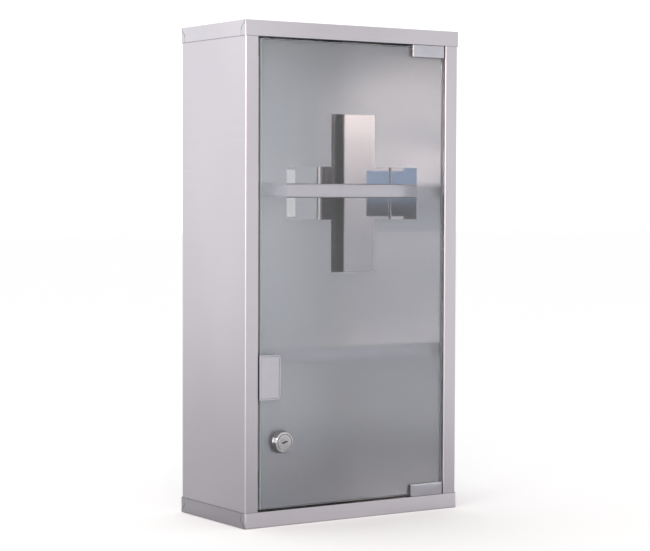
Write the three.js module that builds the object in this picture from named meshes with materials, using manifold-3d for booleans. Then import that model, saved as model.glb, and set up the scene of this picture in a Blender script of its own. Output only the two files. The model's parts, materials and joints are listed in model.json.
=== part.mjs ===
// Wall medicine cabinet of folded steel sheet with a hinged glass door.
// Millimetres, +Z up. The door faces -Y, its hinges are on the +X side and its lock on the -X side.
// The origin is the centre of the footprint, on the underside of the bottom cap.
import * as THREE from 'three';
import { mergeVertices } from 'three/addons/utils/BufferGeometryUtils.js';
import Module from 'manifold-3d';

const wasm = await Module();
wasm.setup();

// Outer size across the caps, which are the widest pieces.
const WIDTH = 250;
const DEPTH = 123;
const HEIGHT = 480;

// Sheet metal and the gaps between pieces.
const SHEET = 0.6;
const BEND = 1.6;
const NEST = 0.2;
const SEAT = 0.1;
const RUN = 0.2;

// Caps: pans that close the body at the top and the bottom.
const CAP_HEIGHT = 15;
const CAP_EDGE = 1;
const LIP_DEPTH = 16;
const SEAM_WIDTH = 0.4;
const SEAM_REACH = 7.5;
const SEAM_CURVE = 9;
const SEAM_LEAN = 0.6;

// Body: side panels with door stiles, and a back panel set in from the wall.
const STILE_WIDTH = 15;
const STILE_RETURN = 8;
const REAR_FLANGE = 12;
const BACK_RECESS = 3.4;
const KEYHOLE_SPACING = 170;
const KEYHOLE_DROP = 36;
const KEYHOLE_HEAD = 4.5;
const KEYHOLE_NECK = 2.3;
const KEYHOLE_RISE = 9;
const SCREW_HOLE = 2.6;

// Shelves, which rest on angle rails.
const SHELF_COUNT = 2;
const SHELF_LIP = 13.7;
const SHELF_HEM = 6;
const SHELF_SET_BACK = 16;
const SHELF_END_GAP = 0.5;
const SHELF_REAR = 8;
const RAIL_SHEET = 0.8;
const RAIL_LEG = 10;
const RAIL_INSET = 8;

// Door: a glass pane with a frosted layer behind it, and a cross left clear in that layer.
const GLASS = 4;
const GLASS_SET_BACK = 1.5;
const GLASS_EDGE = 0.5;
const FROST = 0.2;
const FROST_SEAT = 0.05;
const FROST_MARGIN = 1;
const CROSS_SPAN = 153;
const CROSS_ARM = 51;
const CROSS_RISE = 77.6;
const PAD = 0.5;

// Hinge clips, which hold the pane by its top and bottom edges.
const CLIP_LENGTH = 38.6;
const CLIP_HEIGHT = 12;
const CLIP_FACE = 2;
const CLIP_BRIDGE = 0.8;
const CLIP_GAP = 0.5;
const CLIP_INSET = 0.4;
const CLIP_BEVEL = 1.8;
const CLIP_BEVEL_DEPTH = 1;
const CLIP_SCREW_SPACING = 20;
const PIVOT_INSET = 8;
const PIN_RADIUS = 1.5;
const PIN_TAIL = 1.5;
const BUSH_WALL = 0.8;
const BUSH_FLANGE = 3.5;
const BUSH_FLANGE_HEIGHT = 1;
const BUSH_PROUD = 0.2;

// Strike plate on the free edge of the pane.
const STRIKE_LENGTH = 43.4;
const STRIKE_REACH = 23.6;
const STRIKE_FACE = 1.2;
const STRIKE_BRIDGE = 1;
const STRIKE_GAP = 0.5;
const STRIKE_CORNER = 3;
const STRIKE_SCREW_SPACING = 26;
const STRIKE_SCREW_INSET = 4.5;

// Clamping screws of the clips and the strike plate.
const SCREW_RADIUS = 1.5;
const SCREW_HEAD = 2.6;
const SCREW_HEAD_HEIGHT = 1.5;
const SCREW_CROWN = 0.8;

// Cam lock through the pane.
const LOCK_INSET = 23.5;
const LOCK_DROP = 40.3;
const ROSETTE_BASE = 11.2;
const ROSETTE_FACE = 9.7;
const ROSETTE_HEIGHT = 5.7;
const ROSETTE_EDGE = 0.8;
const GASKET = 0.6;
const GASKET_INSET = 0.7;
const BARREL_RADIUS = 8;
const BARREL_TAIL = 1;
const PLUG_FACE = 7.6;
const PLUG_FACE_HEIGHT = 2.5;
const PLUG_RADIUS = 6;
const PLUG_TAIL = 5;
const KEYWAY_LENGTH = 6.5;
const KEYWAY_WIDTH = 1.1;
const KEYWAY_STEP = 0.9;
const KEYWAY_DEPTH = 9;
const NUT_HEIGHT = 3.5;
const NUT_RADIUS = 12.4;
const CAM_SHEET = 1.5;
const CAM_REACH = 30;
const CAM_WIDTH = 12;
const CAM_ROUND = 5.5;
const CAM_TIP_ROUND = 3;
const CAM_GAP = 0.3;
const CAM_SCREW_RADIUS = 1.5;
const CAM_SCREW_LENGTH = 5;
const CAM_SCREW_HEAD = 3.6;
const CAM_SCREW_HEAD_HEIGHT = 2;

// Push latch with a magnet, on a bracket inside the left side panel.
const LATCH_SHELF_GAP = 3.3;
const LATCH_GAP = 0.3;
const MAGNET_RADIUS = 4.5;
const MAGNET_HEIGHT = 2;
const PLUNGER_HEAD = 6;
const PLUNGER_HEAD_HEIGHT = 3.5;
const PLUNGER_RADIUS = 4;
const PLUNGER_TRAVEL = 3;
const PLUNGER_STEM = 18;
const SPRING_POCKET = 6;
const SPRING_RADIUS = 2.6;
const SPRING_WIRE = 0.45;
const SPRING_TURNS = 9;
const HOUSING_WIDTH = 14;
const HOUSING_HEIGHT = 14.8;
const HOUSING_LENGTH = 40;
const HOUSING_CORNER = 1.5;
const HOUSING_WALL = 4;
const EAR_SPAN = 30;
const EAR_LENGTH = 16;
const EAR_HEIGHT = 3;
const EAR_SCREW_SPACING = 22;
const BRACKET_SHEET = 1.2;
const BRACKET_DROP = 18;
const BRACKET_LENGTH = 30;
const BRACKET_INSET = 4;

// Facets on a fold, on a round piece and on a spring.
const FOLD_STEPS = 2;
const ROUND_STEPS = 32;
const CURL_STEPS = 8;
const CURL_SIDES = 5;
const MERGE = 1e-4;

// Places worked out from the sizes above.
const front = -DEPTH / 2;
const rear = DEPTH / 2;
const bodyInset = SHEET + NEST;
const bodySide = WIDTH / 2 - bodyInset;
const bodyFront = front + bodyInset;
const bodyRear = rear - bodyInset;
const wallInside = bodySide - SHEET;
const stileInside = bodySide - STILE_WIDTH;
const backFront = bodyRear - SHEET - NEST - BACK_RECESS;
const gripClear = PAD + 2 * SEAT;
const pane = GLASS + FROST_SEAT + FROST;
const paneFront = front + GLASS_SET_BACK;
const paneWidth = 2 * (stileInside - STRIKE_GAP - STRIKE_BRIDGE - gripClear);
const paneHeight = HEIGHT - 2 * (CAP_HEIGHT + CLIP_GAP + CLIP_BRIDGE + gripClear);
const clipCentre = paneWidth / 2 - CLIP_INSET - CLIP_LENGTH / 2;
const pivotX = paneWidth / 2 - CLIP_INSET - PIVOT_INSET;
const pivotY = front + SHEET + NEST + BUSH_FLANGE;
const bushBore = PIN_RADIUS + RUN;
const bushSleeve = bushBore + BUSH_WALL;
const shelfTop = Array.from({ length: SHELF_COUNT }, (_, i) =>
  (HEIGHT * (i + 1)) / (SHELF_COUNT + 1) + SHELF_LIP / 2);
const latchZ = shelfTop[0] - SHELF_LIP - LATCH_SHELF_GAP - HOUSING_HEIGHT / 2;
const lockX = -paneWidth / 2 + LOCK_INSET;
const lockZ = latchZ - STRIKE_LENGTH / 2 - LOCK_DROP;

// Finishes, as [colour, roughness, metalness].
const BRUSHED_STEEL = [0xc9c5ca, 0.42, 1];
const POLISHED_STEEL = [0xd4d3d6, 0.12, 1];
const SATIN_CLIP = [0xb9babf, 0.35, 1];
const CHROME = [0xdcdce0, 0.1, 1];
const ZINC = [0xb4b7ba, 0.4, 1];
const SPRING_STEEL = [0x8f9194, 0.35, 1];
const MAGNET_GREY = [0x4a4b50, 0.5, 0.6];
const CLEAR_GLASS = [0xdfe9ea, 0.04, 0];
const FROSTED = [0xb4bbc2, 0.75, 0];
const RUBBER = [0x2c2c2e, 0.85, 0];
const NYLON = [0xe4e2dc, 0.55, 0];
const LATCH_PLASTIC = [0xd9d8d5, 0.5, 0];

// Makes a closed solid from a geometry: shared corners are merged and flat slivers dropped.
function solid(geometry) {
  geometry.deleteAttribute('normal');
  geometry.deleteAttribute('uv');
  const merged = mergeVertices(geometry, MERGE);
  const corners = merged.index.array;
  const kept = [];
  for (let i = 0; i < corners.length; i += 3) {
    const [a, b, c] = corners.slice(i, i + 3);
    if (a !== b && b !== c && c !== a) kept.push(a, b, c);
  }
  return new wasm.Manifold(new wasm.Mesh({
    numProp: 3,
    vertProperties: merged.attributes.position.array,
    triVerts: new Uint32Array(kept),
  }));
}

// Makes a named mesh from a solid, with a material of its own.
function piece(name, body, [color, roughness, metalness]) {
  const { vertProperties, triVerts } = body.getMesh();
  const geometry = new THREE.BufferGeometry();
  geometry.setAttribute('position', new THREE.BufferAttribute(vertProperties, 3));
  geometry.setIndex(new THREE.BufferAttribute(triVerts, 1));
  geometry.computeVertexNormals();
  const mesh = new THREE.Mesh(geometry, new THREE.MeshStandardMaterial({ color, roughness, metalness }));
  mesh.name = name;
  return mesh;
}

// Draws a closed outline whose corners are rounded by arcs of the given radii.
function rounded(corners, radii) {
  const outline = new THREE.Shape();
  const points = corners.map(([x, y]) => new THREE.Vector2(x, y));
  points.forEach((corner, i) => {
    if (radii[i] === 0) {
      if (i === 0) outline.moveTo(corner.x, corner.y);
      else outline.lineTo(corner.x, corner.y);
      return;
    }
    const arrive = corner.clone().sub(points.at(i - 1)).normalize();
    const leave = points[(i + 1) % points.length].clone().sub(corner).normalize();
    const turn = Math.atan2(arrive.cross(leave), arrive.dot(leave));
    const reach = radii[i] * Math.tan(Math.abs(turn) / 2);
    const start = corner.clone().addScaledVector(arrive, -reach);
    const across = new THREE.Vector2(-arrive.y, arrive.x).multiplyScalar(Math.sign(turn) * radii[i]);
    const centre = start.clone().add(across);
    const angle = start.sub(centre).angle();
    outline.absarc(centre.x, centre.y, radii[i], angle, angle + turn, turn < 0);
  });
  return outline;
}

// Draws a rectangle, with a radius for each corner, from the low corner round.
function rectangle(lowX, lowY, highX, highY, radii = [0, 0, 0, 0]) {
  return rounded([[lowX, lowY], [highX, lowY], [highX, highY], [lowX, highY]], radii);
}

// Draws the section of a folded sheet. The path is one face of the sheet, and the metal lies
// on its left for a positive thickness. Each fold has the bend radius on its outside.
function folded(path, thickness, bend) {
  const points = path.map(([x, y]) => new THREE.Vector2(x, y));
  const headings = points.slice(1).map((point, i) => point.clone().sub(points[i]).normalize());
  const lefts = headings.map((heading) => new THREE.Vector2(-heading.y, heading.x));
  const last = points.length - 1;
  const offset = points.map((point, i) => {
    const before = lefts[Math.max(i - 1, 0)];
    const after = lefts[Math.min(i, last - 1)];
    const mitre = before.clone().add(after).divideScalar(1 + before.dot(after));
    return point.clone().addScaledVector(mitre, thickness);
  });
  const inner = Math.max(bend - Math.abs(thickness), 0);
  const radii = points.map((_, i) => {
    if (i === 0 || i === last) return [0, 0];
    const inwards = headings[i - 1].cross(headings[i]) * thickness > 0;
    return inwards ? [bend, inner] : [inner, bend];
  });
  const corners = [...points, ...offset.reverse()].map(({ x, y }) => [x, y]);
  return rounded(corners, [...radii.map(([near]) => near), ...radii.map(([, far]) => far).reverse()]);
}

// Axes for a bar: the directions of the outline's x and y, and of the bar's length.
const BAR_AXES = {
  x: [[0, 1, 0], [0, 0, 1], [1, 0, 0]],
  y: [[1, 0, 0], [0, 0, 1], [0, -1, 0]],
  z: [[1, 0, 0], [0, 1, 0], [0, 0, 1]],
};

// Extrudes an outline from one place to another along an axis. The outline's coordinates are
// (y, z) for a bar along x, (x, z) along y and (x, y) along z. An edge chamfers both ends.
function bar(outline, axis, from, to, { steps = FOLD_STEPS, edge = 0 } = {}) {
  const geometry = new THREE.ExtrudeGeometry(outline, {
    depth: to - from - 2 * edge,
    curveSegments: steps,
    bevelEnabled: edge > 0,
    bevelThickness: edge,
    bevelSize: edge,
    bevelOffset: -edge,
    bevelSegments: 1,
  });
  geometry.translate(0, 0, edge + (axis === 'y' ? -to : from));
  const basis = BAR_AXES[axis].map((direction) => new THREE.Vector3(...direction));
  geometry.applyMatrix4(new THREE.Matrix4().makeBasis(...basis));
  return solid(geometry);
}

// A round rod, or a cutter for a round hole, about a point of the plane across its axis.
function rod(x, y, radius, axis, from, to) {
  const circle = new THREE.Shape().absarc(x, y, radius, 0, 2 * Math.PI);
  return bar(circle, axis, from, to, { steps: ROUND_STEPS / 4 });
}

// Spins a half section of [radius, height] points about the y axis, or about z.
function turned(section, axis = 'y') {
  const points = section.map(([radius, height]) => new THREE.Vector2(radius, height));
  const geometry = new THREE.LatheGeometry(points, ROUND_STEPS);
  if (axis === 'z') geometry.rotateX(Math.PI / 2);
  return solid(geometry);
}

// A block that stands on z = 0, with round upright corners and a round edge along its top.
function roundedBlock(width, depth, low, high, corner, edge) {
  const plan = rectangle(-width / 2, -depth / 2, width / 2, depth / 2, Array(4).fill(corner));
  const across = rectangle(-width / 2, low, width / 2, high, [0, 0, edge, edge]);
  const along = rectangle(-depth / 2, low, depth / 2, high, [0, 0, edge, edge]);
  return bar(plan, 'z', low, high)
    .intersect(bar(across, 'y', -depth / 2, depth / 2))
    .intersect(bar(along, 'x', -width / 2, width / 2));
}

// The slit between a cap's side flange and the tab that wraps round its corner: it leaves the
// corner in an S curve and runs straight to the flange's free edge.
function cornerSeam(sideX, endY) {
  const inwards = -Math.sign(endY);
  const place = (along, down) => [endY + inwards * along, CAP_HEIGHT - down];
  const outline = new THREE.Shape();
  outline.moveTo(...place(BEND, CAP_EDGE));
  outline.bezierCurveTo(
    ...place(BEND + SEAM_LEAN, CAP_EDGE + SEAM_CURVE / 2),
    ...place(SEAM_REACH, CAP_EDGE + SEAM_CURVE / 2),
    ...place(SEAM_REACH, CAP_EDGE + SEAM_CURVE),
  );
  outline.lineTo(...place(SEAM_REACH, CAP_HEIGHT + SHEET));
  outline.lineTo(...place(SEAM_REACH + SEAM_WIDTH, CAP_HEIGHT + SHEET));
  outline.lineTo(...place(SEAM_REACH + SEAM_WIDTH, CAP_EDGE + SEAM_CURVE));
  outline.bezierCurveTo(
    ...place(SEAM_REACH + SEAM_WIDTH, CAP_EDGE + SEAM_CURVE / 2),
    ...place(BEND + SEAM_LEAN + SEAM_WIDTH, CAP_EDGE + SEAM_CURVE / 2),
    ...place(BEND + SEAM_WIDTH, CAP_EDGE),
  );
  const middle = sideX - (Math.sign(sideX) * SHEET) / 2;
  return bar(outline, 'x', middle - SHEET, middle + SHEET, { steps: 2 * FOLD_STEPS + 1 });
}

// A cap seen from outside: its free edge at z = 0, its plate on top. A lip along the front
// flange closes the space over the door and carries a hinge bush.
function cap(holeX) {
  const outside = roundedBlock(WIDTH, DEPTH, 0, CAP_HEIGHT, BEND, CAP_EDGE);
  const inside = roundedBlock(
    WIDTH - 2 * SHEET,
    DEPTH - 2 * SHEET,
    -SHEET,
    CAP_HEIGHT - SHEET,
    BEND - SHEET,
    CAP_EDGE - SHEET,
  );
  const lipHalf = stileInside - NEST;
  const lip = bar(rectangle(-lipHalf, front + SHEET / 2, lipHalf, front + LIP_DEPTH), 'z', 0, SHEET);
  const hole = rod(holeX, pivotY, bushSleeve + NEST, 'z', -SHEET, 2 * SHEET);
  let body = outside.subtract(inside).add(lip).subtract(hole);
  for (const sideX of [-WIDTH / 2, WIDTH / 2]) {
    for (const endY of [front, rear]) {
      body = body.subtract(cornerSeam(sideX, endY));
    }
  }
  return body;
}

// A side panel: door stile, side wall and rear flange folded from one sheet.
function sidePanel(side) {
  const section = [
    [side * stileInside, bodyFront + STILE_RETURN],
    [side * stileInside, bodyFront],
    [side * bodySide, bodyFront],
    [side * bodySide, bodyRear],
    [side * (bodySide - REAR_FLANGE), bodyRear],
  ];
  return bar(folded(section, side * SHEET, BEND), 'z', bodyInset, HEIGHT - bodyInset);
}

// A keyhole: a round opening for a screw head with a narrow neck above it.
function keyhole(x, z) {
  const from = backFront - SHEET;
  const to = backFront + 2 * SHEET;
  const neck = rectangle(x - KEYHOLE_NECK, z, x + KEYHOLE_NECK, z + KEYHOLE_RISE);
  return rod(x, z, KEYHOLE_HEAD, 'y', from, to)
    .add(bar(neck, 'y', from, to))
    .add(rod(x, z + KEYHOLE_RISE, KEYHOLE_NECK, 'y', from, to));
}

// The back panel: a shallow pan that stands off the wall, hung on two keyholes.
function backPanel() {
  const edge = wallInside - NEST;
  const end = bodyRear - BEND;
  const section = [[-edge, end], [-edge, backFront], [edge, backFront], [edge, end]];
  let body = bar(folded(section, SHEET, BEND), 'z', bodyInset, HEIGHT - bodyInset);
  for (const x of [-KEYHOLE_SPACING / 2, KEYHOLE_SPACING / 2]) {
    body = body
      .subtract(keyhole(x, HEIGHT - KEYHOLE_DROP - KEYHOLE_RISE))
      .subtract(rod(x, KEYHOLE_DROP, SCREW_HOLE, 'y', backFront - SHEET, backFront + 2 * SHEET));
  }
  return body;
}

// A shelf: plate, front lip with a hem, and a rear flange.
function shelf(top) {
  const lipFront = front + SHELF_SET_BACK;
  const end = backFront - SHELF_END_GAP;
  const section = [
    [lipFront + SHELF_HEM, top - SHELF_LIP],
    [lipFront, top - SHELF_LIP],
    [lipFront, top],
    [end, top],
    [end, top - SHELF_REAR],
  ];
  const half = wallInside - SHELF_END_GAP;
  return bar(folded(section, -SHEET, BEND), 'x', -half, half);
}

// An angle rail under one end of a shelf.
function shelfRail(side, top) {
  const wall = wallInside - SEAT;
  const seat = top - SHEET - SEAT;
  const section = [[side * wall, seat - RAIL_LEG], [side * wall, seat], [side * (wall - RAIL_LEG), seat]];
  const from = front + SHELF_SET_BACK + RAIL_INSET;
  return bar(folded(section, side * RAIL_SHEET, BEND), 'y', from, backFront - RAIL_INSET);
}

// The glass pane, with its front face on y = 0 and its centre on x = z = 0.
function glassPane(holeX, holeZ) {
  const outline = rectangle(-paneWidth / 2, -paneHeight / 2, paneWidth / 2, paneHeight / 2);
  const hole = rod(holeX, holeZ, BARREL_RADIUS + 2 * NEST, 'y', -GLASS, 2 * GLASS);
  return bar(outline, 'y', 0, GLASS, { edge: GLASS_EDGE }).subtract(hole);
}

// The frosted layer behind the pane. The cross in it is left clear.
function frostedLayer(holeX, holeZ) {
  const halfWidth = paneWidth / 2 - FROST_MARGIN;
  const halfHeight = paneHeight / 2 - FROST_MARGIN;
  const from = GLASS + FROST_SEAT;
  const to = from + FROST;
  const span = CROSS_SPAN / 2;
  const arm = CROSS_ARM / 2;
  const upright = rectangle(-arm, CROSS_RISE - span, arm, CROSS_RISE + span);
  const level = rectangle(-span, CROSS_RISE - arm, span, CROSS_RISE + arm);
  return bar(rectangle(-halfWidth, -halfHeight, halfWidth, halfHeight), 'y', from, to)
    .subtract(bar(upright, 'y', 0, 2 * to))
    .subtract(bar(level, 'y', 0, 2 * to))
    .subtract(rod(holeX, holeZ, BARREL_RADIUS + 2 * NEST, 'y', 0, 2 * to));
}

// A channel that grips the edge of the pane. The edge lies along x at z = 0, with the pane
// below it and its front face on y = 0. Clear is the space between the channel and the pane.
function grip(length, leg, clear, face, bridge) {
  const top = clear + bridge;
  const end = top - leg;
  const section = [
    [-clear - face, end],
    [-clear, end],
    [-clear, clear],
    [pane + clear, clear],
    [pane + clear, end],
    [pane + clear + face, end],
    [pane + clear + face, top],
    [-clear - face, top],
  ];
  return bar(rounded(section, Array(section.length).fill(0)), 'x', -length / 2, length / 2);
}

// Holes for clamping screws through the rear leg of a grip.
function clampHoles(spacing, z, face) {
  const from = pane;
  const to = pane + 2 * (gripClear + face);
  return [-spacing / 2, spacing / 2]
    .map((x) => rod(x, z, SCREW_RADIUS + NEST, 'y', from, to))
    .reduce((all, hole) => all.add(hole));
}

// A wedge that bevels the edge where the clip's front face meets an end face. The outline runs
// half as far again past both faces, and inwards is the direction into the clip.
function bevelWedge(axis, length, endFace, frontFace, inwards) {
  const spare = 0.5;
  const tip = [endFace + inwards * CLIP_BEVEL * (1 + spare), frontFace - CLIP_BEVEL_DEPTH * spare];
  const heel = [endFace - inwards * CLIP_BEVEL * spare, frontFace + CLIP_BEVEL_DEPTH * (1 + spare)];
  const outside = [heel[0], tip[1]];
  const corners = [tip, heel, outside];
  if (axis === 'x') corners.forEach((corner) => corner.reverse());
  return bar(rounded(corners, [0, 0, 0]), axis, -length, length);
}

const clipLegEnd = gripClear + CLIP_BRIDGE - CLIP_HEIGHT;
const clipScrewZ = clipLegEnd / 2;

// A hinge clip with bevels round its front face and a hole for the pivot pin.
function hingeClip(holeX) {
  const faceY = -gripClear - CLIP_FACE;
  const pinHole = rod(holeX, pivotY - paneFront, PIN_RADIUS + NEST, 'z', 0, 2 * (gripClear + CLIP_BRIDGE));
  return grip(CLIP_LENGTH, CLIP_HEIGHT, gripClear, CLIP_FACE, CLIP_BRIDGE)
    .subtract(bevelWedge('z', CLIP_HEIGHT, -CLIP_LENGTH / 2, faceY, 1))
    .subtract(bevelWedge('z', CLIP_HEIGHT, CLIP_LENGTH / 2, faceY, -1))
    .subtract(bevelWedge('x', CLIP_LENGTH, clipLegEnd, faceY, 1))
    .subtract(clampHoles(CLIP_SCREW_SPACING, clipScrewZ, CLIP_FACE))
    .subtract(pinHole);
}

// The liner between a grip and the pane, a little smaller than the grip.
function gripPad(length, leg) {
  return grip(length - 2 * PAD, leg - 2 * PAD, SEAT, PAD, PAD);
}

// A pan head screw along an axis, from its tip to the seat of its head.
function panScrew(tip, seat, radius, head, headHeight, axis = 'y') {
  const top = seat + headHeight;
  return turned([
    [0, tip],
    [radius, tip],
    [radius, seat],
    [head, seat],
    [head, top - SCREW_CROWN],
    [head - SCREW_CROWN, top],
    [0, top],
  ], axis);
}

// A clamping screw: its head lies behind the rear leg, and its tip reaches the pad.
function clampScrew(face) {
  return panScrew(-(face + SEAT), 0, SCREW_RADIUS, SCREW_HEAD, SCREW_HEAD_HEIGHT);
}

// The pivot pin stands on the clip and runs in the bush. Heights are from the pane's edge.
const lipHeight = gripClear + CLIP_BRIDGE + CLIP_GAP;
function hingePin() {
  const end = lipHeight + SHEET + BUSH_FLANGE_HEIGHT + PIN_TAIL;
  const chamfer = PIN_RADIUS / 3;
  return turned([
    [0, gripClear],
    [PIN_RADIUS, gripClear],
    [PIN_RADIUS, end - chamfer],
    [PIN_RADIUS - chamfer, end],
    [0, end],
  ], 'z');
}

// The flanged bush drops into the lip of a cap and stands a little proud towards the door.
function hingeBush() {
  const low = lipHeight - BUSH_PROUD;
  const flange = lipHeight + SHEET + SEAT;
  const top = flange + BUSH_FLANGE_HEIGHT;
  return turned([
    [bushBore, low],
    [bushSleeve, low],
    [bushSleeve, flange],
    [BUSH_FLANGE, flange],
    [BUSH_FLANGE, top],
    [bushBore, top],
    [bushBore, low],
  ], 'z');
}

// The strike plate: a grip over the free edge of the pane, with round corners on both legs.
function strikePlate() {
  const top = gripClear + STRIKE_BRIDGE;
  const reach = rectangle(
    -STRIKE_LENGTH / 2,
    top - STRIKE_REACH,
    STRIKE_LENGTH / 2,
    top,
    [STRIKE_CORNER, STRIKE_CORNER, 0, 0],
  );
  const far = 2 * (pane + gripClear + STRIKE_FACE);
  return grip(STRIKE_LENGTH, STRIKE_REACH, gripClear, STRIKE_FACE, STRIKE_BRIDGE)
    .intersect(bar(reach, 'y', -far, far, { steps: 2 * FOLD_STEPS }))
    .subtract(clampHoles(STRIKE_SCREW_SPACING, -STRIKE_SCREW_INSET, STRIKE_FACE));
}

// Places along the lock's axis, from the front face of the pane.
const gasketFront = -SEAT - GASKET;
const rosetteBack = gasketFront - SEAT;
const rosetteFront = rosetteBack - ROSETTE_HEIGHT;
const plugStep = rosetteFront + PLUG_FACE_HEIGHT;
const nutFront = pane + SEAT;
const barrelEnd = nutFront + NUT_HEIGHT + BARREL_TAIL;
const camFront = barrelEnd + CAM_GAP;
const camBack = camFront + CAM_SHEET;

// The barrel and its tapered rosette. The rosette's front edge is rounded in two steps.
function lockBarrel() {
  const slope = (ROSETTE_BASE - ROSETTE_FACE) / ROSETTE_HEIGHT;
  const ease = ROSETTE_EDGE * (1 - Math.SQRT1_2);
  const section = [
    [PLUG_RADIUS + RUN, barrelEnd],
    [PLUG_RADIUS + RUN, plugStep],
    [PLUG_FACE + RUN, plugStep],
    [PLUG_FACE + RUN, rosetteFront],
    [ROSETTE_FACE - ROSETTE_EDGE, rosetteFront],
    [ROSETTE_FACE - ease, rosetteFront + ease],
    [ROSETTE_FACE + slope * ROSETTE_EDGE, rosetteFront + ROSETTE_EDGE],
    [ROSETTE_BASE, rosetteBack],
    [BARREL_RADIUS, rosetteBack],
    [BARREL_RADIUS, barrelEnd],
    [PLUG_RADIUS + RUN, barrelEnd],
  ];
  return turned(section);
}

function lockGasket() {
  const inner = BARREL_RADIUS + NEST;
  const outer = ROSETTE_BASE - GASKET_INSET;
  const low = [inner, gasketFront];
  return turned([low, [outer, gasketFront], [outer, -SEAT], [inner, -SEAT], low]);
}

function lockNut() {
  const outline = new THREE.Shape();
  for (let i = 0; i < 6; i += 1) {
    const angle = (i * Math.PI) / 3;
    const corner = [NUT_RADIUS * Math.cos(angle), NUT_RADIUS * Math.sin(angle)];
    if (i === 0) outline.moveTo(...corner);
    else outline.lineTo(...corner);
  }
  const hole = rod(0, 0, BARREL_RADIUS + NEST, 'y', 0, 2 * barrelEnd);
  return bar(outline, 'y', nutFront, nutFront + NUT_HEIGHT).subtract(hole);
}

// The keyway: two half slots side by side, stepped so that only its own key goes in.
function keyway() {
  const half = KEYWAY_LENGTH / 2;
  const thick = KEYWAY_WIDTH / 2;
  const step = KEYWAY_STEP / 2;
  const outline = rounded([
    [-half, -thick - step],
    [step, -thick - step],
    [step, -thick + step],
    [half, -thick + step],
    [half, thick + step],
    [-step, thick + step],
    [-step, thick - step],
    [-half, thick - step],
  ], Array(8).fill(0));
  return bar(outline, 'y', rosetteFront - KEYWAY_DEPTH, rosetteFront + KEYWAY_DEPTH);
}

// The plug turns in the barrel. Its square tail carries the cam.
function lockPlug() {
  const end = barrelEnd;
  const tailEnd = camBack - CAM_GAP;
  const square = rectangle(-PLUG_TAIL / 2, -PLUG_TAIL / 2, PLUG_TAIL / 2, PLUG_TAIL / 2);
  const holeEnd = camBack - CAM_SCREW_LENGTH - CAM_GAP;
  const screwHole = rod(0, 0, CAM_SCREW_RADIUS + NEST, 'y', holeEnd, 2 * camBack);
  return turned([
    [0, rosetteFront],
    [PLUG_FACE, rosetteFront],
    [PLUG_FACE, plugStep - RUN],
    [PLUG_RADIUS, plugStep - RUN],
    [PLUG_RADIUS, end],
    [0, end],
  ])
    .add(bar(square, 'y', end - SHEET, tailEnd))
    .subtract(keyway())
    .subtract(screwHole);
}

// The cam points up when the lock is open, and turns behind the left stile to hold the door.
function lockCam() {
  const half = CAM_WIDTH / 2;
  const heel = Math.min(CAM_ROUND, half - SEAT);
  const tip = Math.min(CAM_TIP_ROUND, half - SEAT);
  const outline = rectangle(-half, -half, half, CAM_REACH, [heel, heel, tip, tip]);
  const tail = PLUG_TAIL / 2 + NEST;
  return bar(outline, 'y', camFront, camBack, { steps: 3 * FOLD_STEPS })
    .subtract(bar(rectangle(-tail, -tail, tail, tail), 'y', 0, 2 * camBack));
}

function camScrew() {
  const seat = camBack + SEAT;
  return panScrew(seat - CAM_SCREW_LENGTH, seat, CAM_SCREW_RADIUS, CAM_SCREW_HEAD, CAM_SCREW_HEAD_HEIGHT);
}

// Places along the latch's axis, from the front face of the plunger.
const housingFront = PLUNGER_HEAD_HEIGHT + PLUNGER_TRAVEL + LATCH_GAP;
const housingEnd = housingFront + HOUSING_LENGTH;
const boreEnd = housingEnd - HOUSING_WALL;
const stemEnd = housingFront + PLUNGER_STEM;
const pocketEnd = stemEnd - SPRING_POCKET;
const earMiddle = (housingFront + housingEnd) / 2;
const housingLow = -HOUSING_HEIGHT / 2;

function latchMagnet() {
  return turned([[0, 0], [MAGNET_RADIUS, 0], [MAGNET_RADIUS, MAGNET_HEIGHT], [0, MAGNET_HEIGHT]]);
}

// The plunger holds the magnet in its head and the spring in its hollow stem.
function latchPlunger() {
  const socket = MAGNET_RADIUS + NEST;
  const pocket = SPRING_RADIUS + SPRING_WIRE + RUN;
  return turned([
    [0, MAGNET_HEIGHT + SEAT],
    [socket, MAGNET_HEIGHT + SEAT],
    [socket, 0],
    [PLUNGER_HEAD, 0],
    [PLUNGER_HEAD, PLUNGER_HEAD_HEIGHT],
    [PLUNGER_RADIUS, PLUNGER_HEAD_HEIGHT],
    [PLUNGER_RADIUS, stemEnd],
    [pocket, stemEnd],
    [pocket, pocketEnd],
    [0, pocketEnd],
  ]);
}

// The spring that pushes the plunger out, a coil between the plunger and the housing.
function latchSpring() {
  const low = pocketEnd + SPRING_WIRE + LATCH_GAP;
  const high = boreEnd - SPRING_WIRE - LATCH_GAP;
  class Coil extends THREE.Curve {
    getPoint(share, target = new THREE.Vector3()) {
      const angle = 2 * Math.PI * SPRING_TURNS * share;
      return target.set(
        SPRING_RADIUS * Math.cos(angle),
        low + share * (high - low),
        SPRING_RADIUS * Math.sin(angle),
      );
    }
  }
  const wire = new THREE.Shape();
  for (let i = 0; i < CURL_SIDES; i += 1) {
    const angle = (2 * Math.PI * i) / CURL_SIDES;
    const corner = [SPRING_WIRE * Math.cos(angle), SPRING_WIRE * Math.sin(angle)];
    if (i === 0) wire.moveTo(...corner);
    else wire.lineTo(...corner);
  }
  const geometry = new THREE.ExtrudeGeometry(wire, {
    steps: SPRING_TURNS * CURL_STEPS,
    extrudePath: new Coil(),
    bevelEnabled: false,
  });
  const gap = (high - low) / SPRING_TURNS - 2 * SPRING_WIRE;
  console.log(`latch spring: least gap between its turns ${gap.toFixed(2)} mm`);
  return solid(geometry);
}

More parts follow.
